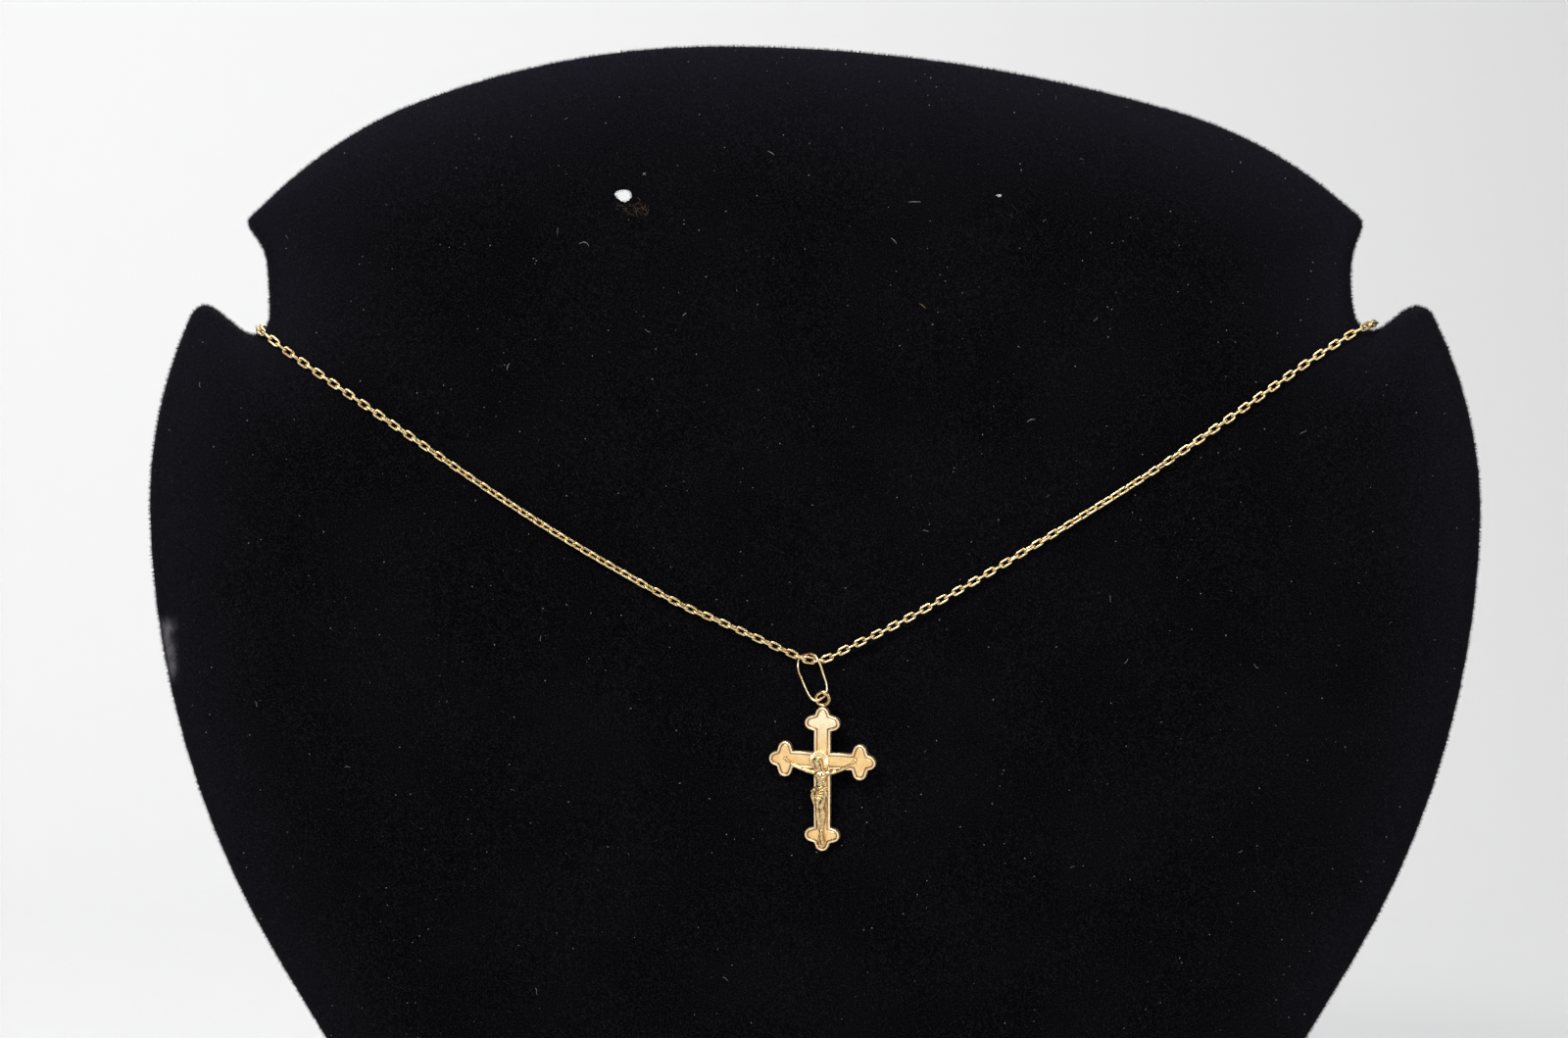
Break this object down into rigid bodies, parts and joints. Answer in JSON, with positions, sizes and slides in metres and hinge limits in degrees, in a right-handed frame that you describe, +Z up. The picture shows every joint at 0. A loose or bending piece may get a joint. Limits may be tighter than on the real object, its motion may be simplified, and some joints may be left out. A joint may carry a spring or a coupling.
{
  "type": "crucifix pendant necklace on a velvet neck display board",
  "caption": "Gold crucifix pendant with a wire bail on a fine link chain, hung over the side notches of a padded velvet neck display board that stands on a rear leg.",
  "frame": {"origin": "middle of the object's width and depth, on the surface that the board and its leg stand on", "axes": "+X to the viewer's right along the board's width, -Y towards the viewer out of the velvet's face, +Z up"},
  "size_m": [0.205, 0.0718, 0.188],
  "materials": {
    "velvet": "black velvet pile",
    "leg_board": "matt black paper",
    "chain_gold": "bright diamond-cut yellow gold",
    "bail_gold": "polished gold wire",
    "cross_gold": "satin panel with a polished rim and figure"
  },
  "bodies": {
    "root": {"board": "velvet", "leg": "leg_board", "chain": "chain_gold", "clasp": "chain_gold"},
    "bail_body": {"bail": "bail_gold"},
    "crucifix_body": {"crucifix": "cross_gold"}
  },
  "joints": [
    {"name": "bail_swing", "type": "hinge", "parent": "root", "child": "bail_body", "pos_m": [-0.0005, -0.03268, 0.09362], "axis": [-1, 0, 0], "range_deg": [0, 90]},
    {"name": "crucifix_swing", "type": "hinge", "parent": "bail_body", "child": "crucifix_body", "pos_m": [0.00103, -0.03478, 0.08808], "axis": [-0.7547, -0.3967, -0.5225], "range_deg": [0, 45]}
  ]
}
